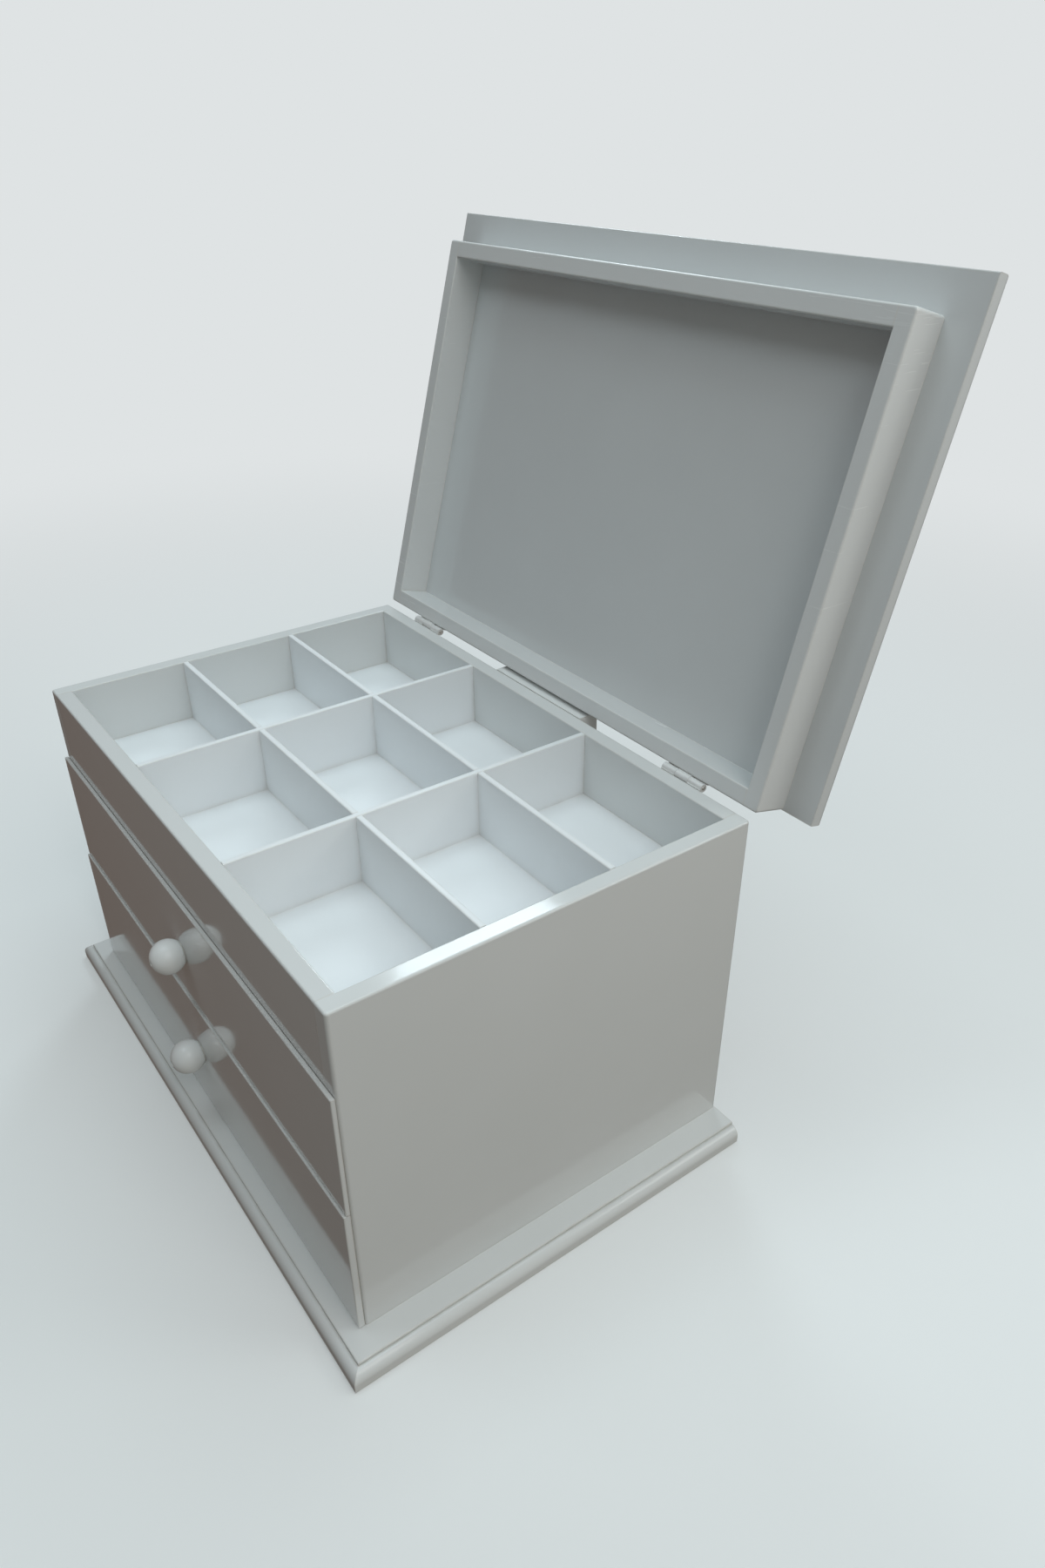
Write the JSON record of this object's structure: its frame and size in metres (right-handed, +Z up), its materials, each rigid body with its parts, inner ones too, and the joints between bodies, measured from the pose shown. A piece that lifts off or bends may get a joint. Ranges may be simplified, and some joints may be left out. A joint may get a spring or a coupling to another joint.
{
  "type": "makeup box with drawers",
  "caption": "White lacquered wooden makeup box with a divided tray under a hinged moulded lid, drawers with ball knobs below it, and a moulded plinth.",
  "frame": {"origin": "centre of the plinth's underside, on the surface that the box stands on", "axes": "+Z up, -Y out of the drawers' front, +X to the right seen from the front"},
  "size_m": [0.334, 0.2992, 0.3844],
  "materials": {
    "case_lacquer": "semi-gloss white sprayed lacquer on fine fibreboard",
    "tray_lacquer": "satin white sprayed lacquer on thin fibreboard",
    "drawer_lacquer": "satin white sprayed lacquer on thin board",
    "knob_lacquer": "glossy white lacquer on turned wood",
    "hinge_steel": "nickel plated steel",
    "screw_steel": "zinc plated steel"
  },
  "bodies": {
    "case": {"plinth_board": "case_lacquer", "left_panel": "case_lacquer", "right_panel": "case_lacquer", "back_panel": "case_lacquer", "top_front_panel": "case_lacquer", "tray_floor": "tray_lacquer", "front_long_divider": "tray_lacquer", "back_long_divider": "tray_lacquer", "left_cross_divider": "tray_lacquer", "right_cross_divider": "tray_lacquer", "drawer_shelf": "case_lacquer", "lid_stop_strip": "case_lacquer", "left_hinge_case_leaf": "hinge_steel", "right_hinge_case_leaf": "hinge_steel", "left_hinge_pin": "hinge_steel", "right_hinge_pin": "hinge_steel", "case_hinge_screws": "screw_steel"},
    "lid": {"lid_board": "case_lacquer", "lid_frame_front": "case_lacquer", "lid_frame_back": "case_lacquer", "lid_frame_left": "case_lacquer", "lid_frame_right": "case_lacquer", "left_hinge_lid_leaf": "hinge_steel", "right_hinge_lid_leaf": "hinge_steel", "lid_hinge_screws": "screw_steel"},
    "lower_drawer": {"lower_drawer_face": "case_lacquer", "lower_drawer_front": "drawer_lacquer", "lower_drawer_back": "drawer_lacquer", "lower_drawer_left_side": "drawer_lacquer", "lower_drawer_right_side": "drawer_lacquer", "lower_drawer_bottom": "drawer_lacquer", "lower_drawer_knob": "knob_lacquer", "lower_drawer_knob_screw": "screw_steel"},
    "upper_drawer": {"upper_drawer_face": "case_lacquer", "upper_drawer_front": "drawer_lacquer", "upper_drawer_back": "drawer_lacquer", "upper_drawer_left_side": "drawer_lacquer", "upper_drawer_right_side": "drawer_lacquer", "upper_drawer_bottom": "drawer_lacquer", "upper_drawer_knob": "knob_lacquer", "upper_drawer_knob_screw": "screw_steel"}
  },
  "joints": [
    {"name": "lid_hinge", "type": "hinge", "parent": "case", "child": "lid", "pos_m": [0, 0.1087, 0.18025], "axis": [1, 0, 0], "range_deg": [0, 105]},
    {"name": "lower_drawer_slide", "type": "slide", "parent": "case", "child": "lower_drawer", "axis": [0, -1, 0], "range_m": [0, 0.14]},
    {"name": "upper_drawer_slide", "type": "slide", "parent": "case", "child": "upper_drawer", "axis": [0, -1, 0], "range_m": [0, 0.14]}
  ]
}
